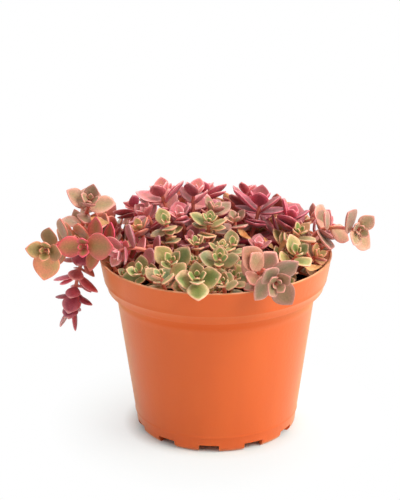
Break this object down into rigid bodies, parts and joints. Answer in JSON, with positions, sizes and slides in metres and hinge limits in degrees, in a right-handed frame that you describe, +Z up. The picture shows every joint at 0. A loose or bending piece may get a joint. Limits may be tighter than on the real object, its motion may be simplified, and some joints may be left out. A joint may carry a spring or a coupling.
{
  "type": "potted calico kitten crassula",
  "caption": "Trailing succulent with fleshy paired heart-shaped leaves in green, cream and magenta, rooted in soil in a round flared plastic nursery pot.",
  "frame": {"origin": "on the surface that the pot stands on, under the middle of the whole plant's spread", "axes": "+Z up, +X towards the right-hand reaching shoot, -Y towards the shoot that leans over the rim in front"},
  "size_m": [0.1762, 0.1501, 0.1336],
  "materials": {
    "pot_plastic": "satin moulded terracotta-coloured plastic",
    "potting_soil": "rough damp peat and bark",
    "green_leaf": "waxy leaf, green with a cream band and a pink edge",
    "red_leaf": "waxy leaf, magenta and olive with a red edge",
    "stem": "smooth salmon-pink stem"
  },
  "bodies": {
    "root": {"pot": "pot_plastic", "shoot_back_centre": "red_leaf", "shoot_back_centre_left": "red_leaf", "shoot_back_centre_right": "red_leaf", "shoot_back_left": "red_leaf", "shoot_back_left_inner": "red_leaf", "shoot_back_left_low": "red_leaf", "shoot_back_right": "red_leaf", "shoot_back_right_inner": "red_leaf", "shoot_back_right_low": "red_leaf", "shoot_back_rim": "red_leaf", "shoot_back_rim_left": "red_leaf", "shoot_back_rim_right": "red_leaf", "shoot_back_trailing": "red_leaf", "shoot_front_left": "green_leaf", "shoot_front_middle": "green_leaf", "shoot_front_right": "green_leaf", "shoot_front_rim_left": "green_leaf", "shoot_front_small": "green_leaf", "shoot_left_hanging": "red_leaf", "shoot_left_high": "red_leaf", "shoot_left_inner": "green_leaf", "shoot_left_middle": "red_leaf", "shoot_left_pair": "red_leaf", "shoot_left_reaching": "red_leaf", "shoot_middle_dark": "red_leaf", "shoot_middle_green": "green_leaf", "shoot_middle_olive": "green_leaf", "shoot_middle_red": "red_leaf", "shoot_over_rim": "green_leaf", "shoot_right_behind": "green_leaf", "shoot_right_crown": "red_leaf", "shoot_right_far": "red_leaf", "shoot_right_front": "green_leaf", "shoot_right_high": "red_leaf", "shoot_right_inner": "green_leaf", "shoot_right_middle": "red_leaf", "shoot_right_reaching": "red_leaf", "shoot_right_rim": "green_leaf", "shoot_rim_low": "green_leaf", "shoot_top": "red_leaf", "shoot_top_far_left": "red_leaf", "shoot_top_front": "red_leaf", "shoot_top_left": "red_leaf", "shoot_upper_edge": "red_leaf", "shoot_upper_left": "red_leaf", "soil": "potting_soil"}
  },
  "joints": []
}
